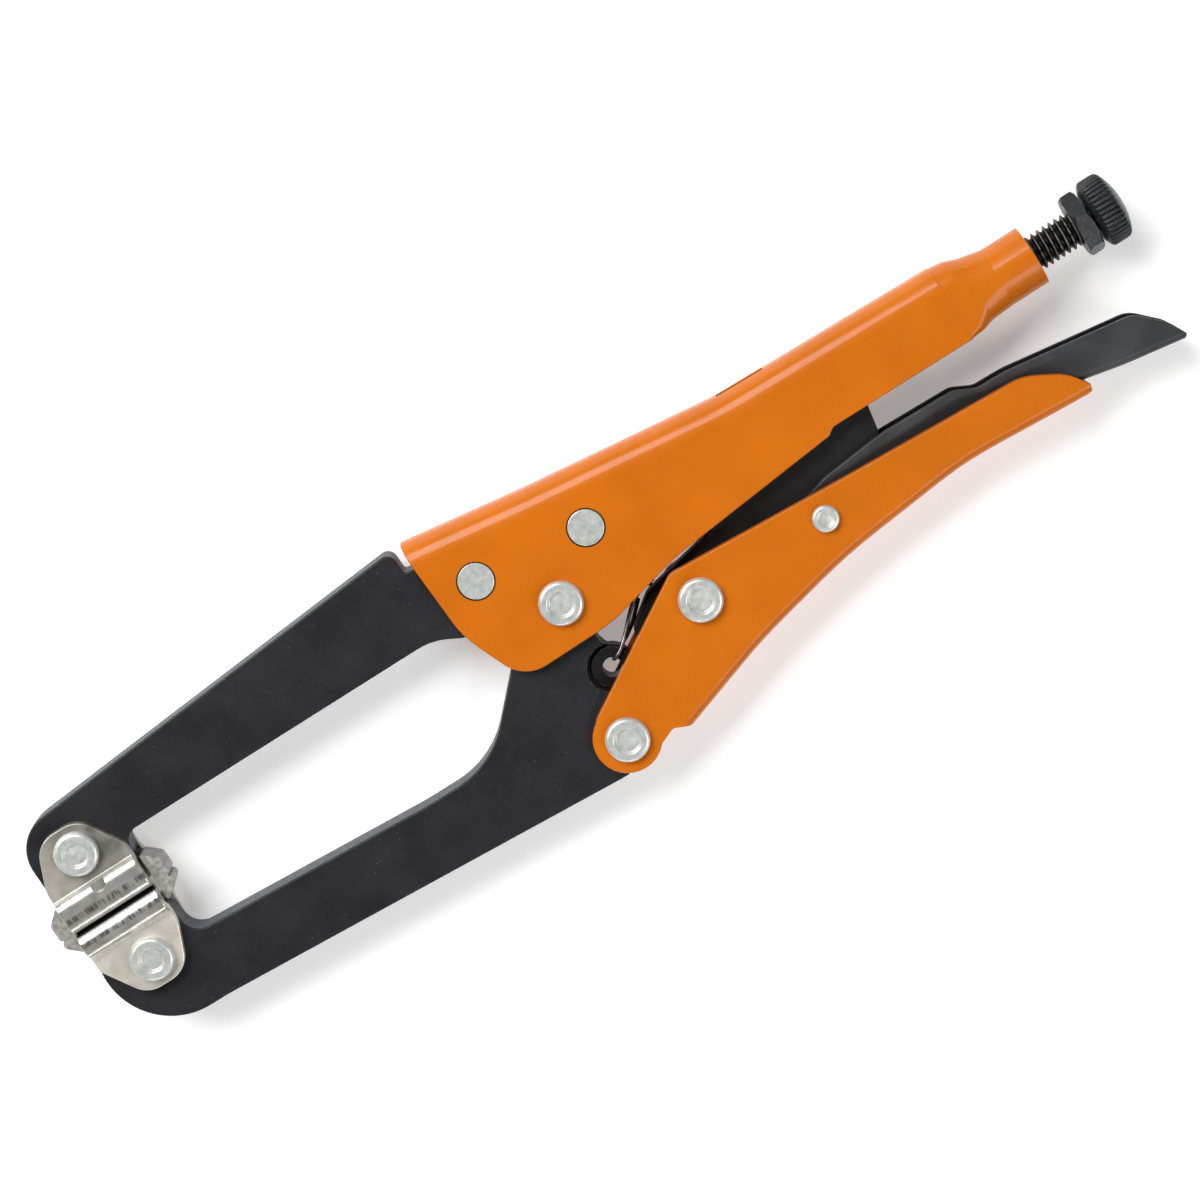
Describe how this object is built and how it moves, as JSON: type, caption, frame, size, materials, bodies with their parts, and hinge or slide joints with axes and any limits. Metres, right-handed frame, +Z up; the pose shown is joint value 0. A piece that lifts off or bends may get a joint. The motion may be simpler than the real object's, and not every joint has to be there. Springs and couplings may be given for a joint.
{
  "type": "locking pliers",
  "caption": "Long-reach locking pliers with flat plate jaws, swivelling pads, painted sheet-steel handles, an adjusting screw and a release lever.",
  "frame": {"origin": "middle of the bounding box in X and Y, at the lowest level: the tool lies on its side on its rivet heads", "axes": "+X along the adjusting screw towards its knob, +Y from the moving handle to the fixed handle, +Z up through the plates"},
  "size_m": [0.273, 0.0678, 0.016],
  "materials": {
    "handle_paint": "gloss paint",
    "jaw_steel": "satin black phosphate",
    "black_steel": "matt black",
    "lever_steel": "satin black",
    "nickel_pad": "worn bright nickel",
    "zinc_rivet": "zinc plated",
    "phosphate_steel": "dark phosphate",
    "thread_steel": "black oxide",
    "spring_wire": "dark spring steel"
  },
  "bodies": {
    "upper_handle": {"upper_handle": "handle_paint", "fixed_jaw": "jaw_steel", "fixed_jaw_rivet_front": "zinc_rivet", "fixed_jaw_rivet_rear": "zinc_rivet", "main_pivot_rivet": "zinc_rivet", "return_spring": "spring_wire"},
    "moving_jaw": {"moving_jaw": "jaw_steel"},
    "lower_handle": {"lower_handle": "handle_paint", "handle_pivot_rivet": "zinc_rivet", "toggle_pivot_rivet": "zinc_rivet", "lever_pivot_rivet": "zinc_rivet"},
    "toggle_link": {"toggle_link": "black_steel"},
    "release_lever": {"release_lever": "lever_steel"},
    "lock_nut": {"lock_nut": "phosphate_steel"},
    "adjusting_screw": {"adjusting_screw": "thread_steel", "thumb_knob": "phosphate_steel"},
    "upper_pad": {"upper_pad": "nickel_pad", "upper_pad_rivet": "zinc_rivet"},
    "lower_pad": {"lower_pad": "nickel_pad", "lower_pad_rivet": "zinc_rivet"}
  },
  "joints": [
    {"name": "jaw_pivot", "type": "hinge", "parent": "upper_handle", "child": "moving_jaw", "pos_m": [-0.00675, 0.00573, 0.008], "axis": [0, 0, 1], "range_deg": [0, 22], "deforming": ["return_spring"]},
    {"name": "handle_pivot", "type": "hinge", "parent": "moving_jaw", "child": "lower_handle", "pos_m": [-0.01075, -0.02647, 0.008], "axis": [0, 0, 1], "range_deg": [-61.7, 0]},
    {"name": "toggle_pivot", "type": "hinge", "parent": "lower_handle", "child": "toggle_link", "pos_m": [0.01825, -0.00957, 0.008], "axis": [0, 0, 1], "range_deg": [0, 66.98]},
    {"name": "release_lever_pivot", "type": "hinge", "parent": "lower_handle", "child": "release_lever", "pos_m": [0.04945, -0.00917, 0.008], "axis": [0, 0, 1], "range_deg": [0, 8]},
    {"name": "upper_pad_swivel", "type": "hinge", "parent": "upper_handle", "child": "upper_pad", "pos_m": [-0.12225, 0.01603, 0.008], "axis": [0, 0, 1], "range_deg": [0, 11.1]},
    {"name": "lower_pad_swivel", "type": "hinge", "parent": "moving_jaw", "child": "lower_pad", "pos_m": [-0.12155, -0.01167, 0.008], "axis": [0, 0, 1], "range_deg": [-11.1, 0]},
    {"name": "screw_travel", "type": "slide", "parent": "upper_handle", "child": "lock_nut", "axis": [1, 0, 0], "range_m": [0, 0.0121]},
    {"name": "screw_turn", "type": "hinge", "parent": "lock_nut", "child": "adjusting_screw", "pos_m": [0.12325, 0.01343, 0.008], "axis": [1, 0, 0], "range_deg": [0, 3060]}
  ],
  "couplings": [
    {"joint": "handle_pivot", "follows": "jaw_pivot", "ratio": -2.8},
    {"joint": "toggle_pivot", "follows": "jaw_pivot", "ratio": 3.04},
    {"joint": "upper_pad_swivel", "follows": "jaw_pivot", "ratio": 0.5},
    {"joint": "lower_pad_swivel", "follows": "jaw_pivot", "ratio": -0.5},
    {"joint": "screw_travel", "follows": "screw_turn", "m_per_rad": 0.00022458}
  ]
}
